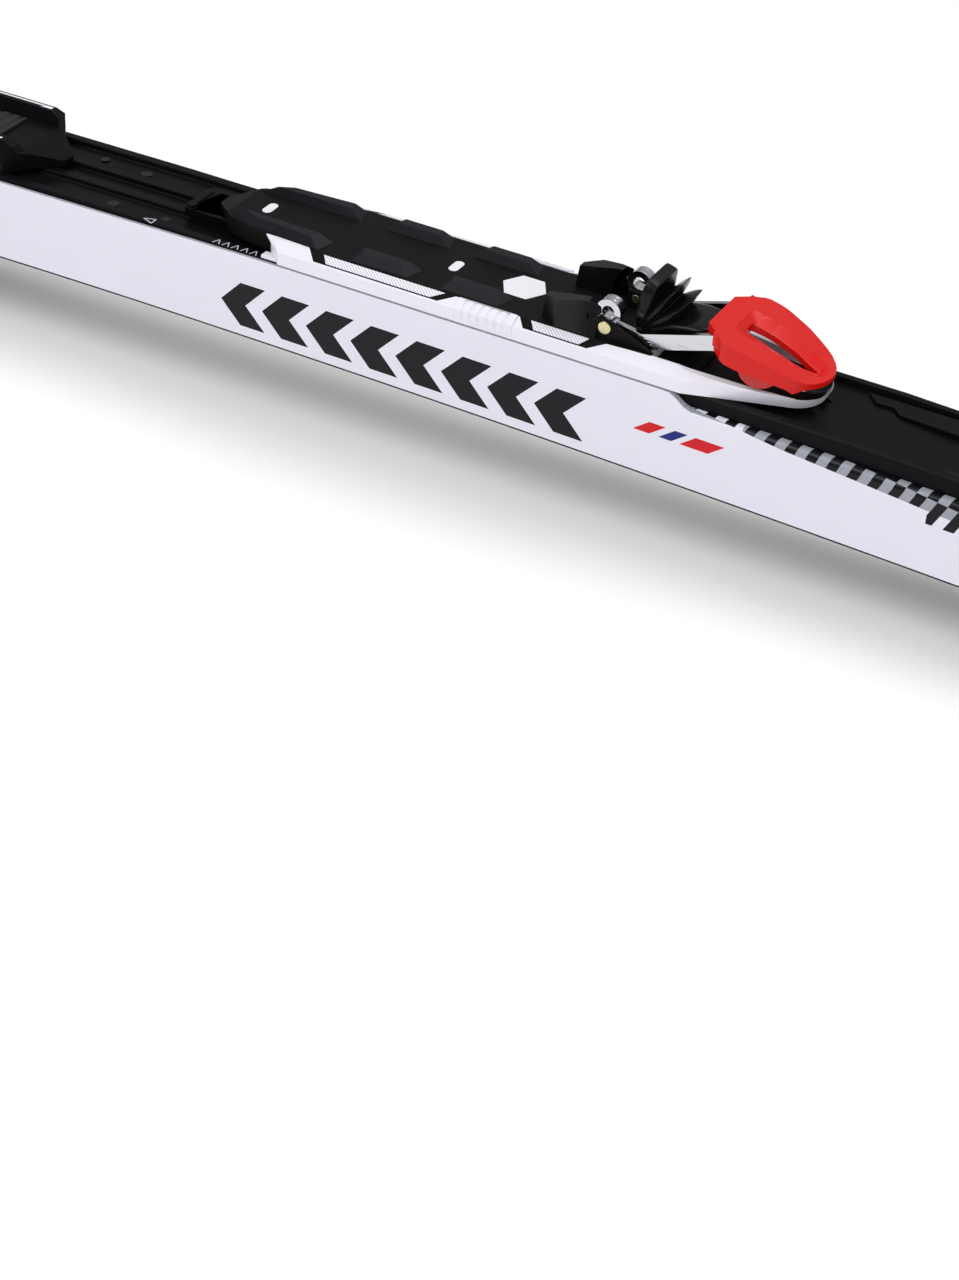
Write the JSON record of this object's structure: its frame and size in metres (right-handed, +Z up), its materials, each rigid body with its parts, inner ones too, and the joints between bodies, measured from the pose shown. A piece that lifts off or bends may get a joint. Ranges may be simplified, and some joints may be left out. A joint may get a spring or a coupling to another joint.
{
  "type": "cross country ski",
  "caption": "Cambered cross country ski with a norm plate, a sliding toe-bar binding with a lifting lever and steel claws, a slide lock and a sliding heel piece.",
  "frame": {"origin": "on the ground plane, under the middle of the ski's length and width", "axes": "+X towards the tip, +Y towards the skier's left, +Z up"},
  "size_m": [1.98, 0.0472, 0.0854],
  "materials": {
    "base_pe": "sintered polyethylene running base, satin, fine stone-ground structure",
    "mohair": "short mohair pile, laid towards the tail",
    "fibre_laminate": "glass and carbon fibre laminate in epoxy",
    "core": "light wood core",
    "cap_lacquer": "gloss lacquered cap: cool white walls, silver metallic topsheet",
    "end_moulding": "moulded thermoplastic end piece",
    "plate_black": "moulded glass-filled polyamide, satin",
    "tray_white": "moulded white polyoxymethylene, semi-gloss",
    "foot_black": "moulded black polyamide, fine spark-eroded texture",
    "ridge_black": "softer overmoulded black elastomer",
    "inlay_white": "white moulded inlay",
    "ear_black": "polished black polyamide",
    "flexor_rubber": "moulded black rubber, semi-gloss",
    "pin_brass": "pale passivated brass",
    "screw_steel": "zinc plated steel",
    "bow_chrome": "chrome plated spring steel, polished",
    "grip_red": "moulded red polyamide, semi-gloss",
    "cam_red": "moulded deeper red polyoxymethylene",
    "heel_rubber": "moulded black rubber"
  },
  "bodies": {
    "ski": {"running_base": "base_pe", "grip_skin": "mohair", "lower_laminate": "fibre_laminate", "core": "core", "upper_laminate": "fibre_laminate", "top_cap": "cap_lacquer", "tip_protector": "end_moulding", "tail_protector": "end_moulding", "norm_plate_rear": "plate_black", "norm_plate_front": "plate_black"},
    "binding": {"binding_base": "tray_white", "foot_plate": "foot_black", "guide_ridges": "ridge_black", "oblong_inlays": "inlay_white", "hexagon_inlay": "inlay_white", "window_inlays": "inlay_white", "rib_pad_left": "tray_white", "rib_pad_right": "tray_white", "toe_housing": "foot_black", "toe_ear_left": "ear_black", "toe_ear_right": "ear_black", "front_pan": "foot_black", "flexor": "flexor_rubber", "pivot_pins": "pin_brass", "housing_screws": "screw_steel", "scale_pointer": "inlay_white"},
    "lever": {"steel_bow": "bow_chrome", "lever_grip": "grip_red", "lever_cams": "cam_red"},
    "latch": {"slide_latch": "foot_black"},
    "heel": {"heel_block": "ear_black", "heel_pad": "heel_rubber", "heel_inlays": "inlay_white"}
  },
  "joints": [
    {"name": "binding_slide", "type": "slide", "parent": "ski", "child": "binding", "axis": [1, 0, 0], "range_m": [-0.01, 0.01]},
    {"name": "heel_slide", "type": "slide", "parent": "ski", "child": "heel", "axis": [0.9999, 0, 0.012], "range_m": [-0.015, 0.012]},
    {"name": "lever_pivot", "type": "hinge", "parent": "binding", "child": "lever", "pos_m": [-0.0542, 0, 0.06894], "axis": [0, -1, 0], "range_deg": [0, 68]},
    {"name": "latch_pull", "type": "slide", "parent": "binding", "child": "latch", "axis": [-1, 0, 0], "range_m": [0, 0.004], "stiffness_N_per_m": 400}
  ]
}
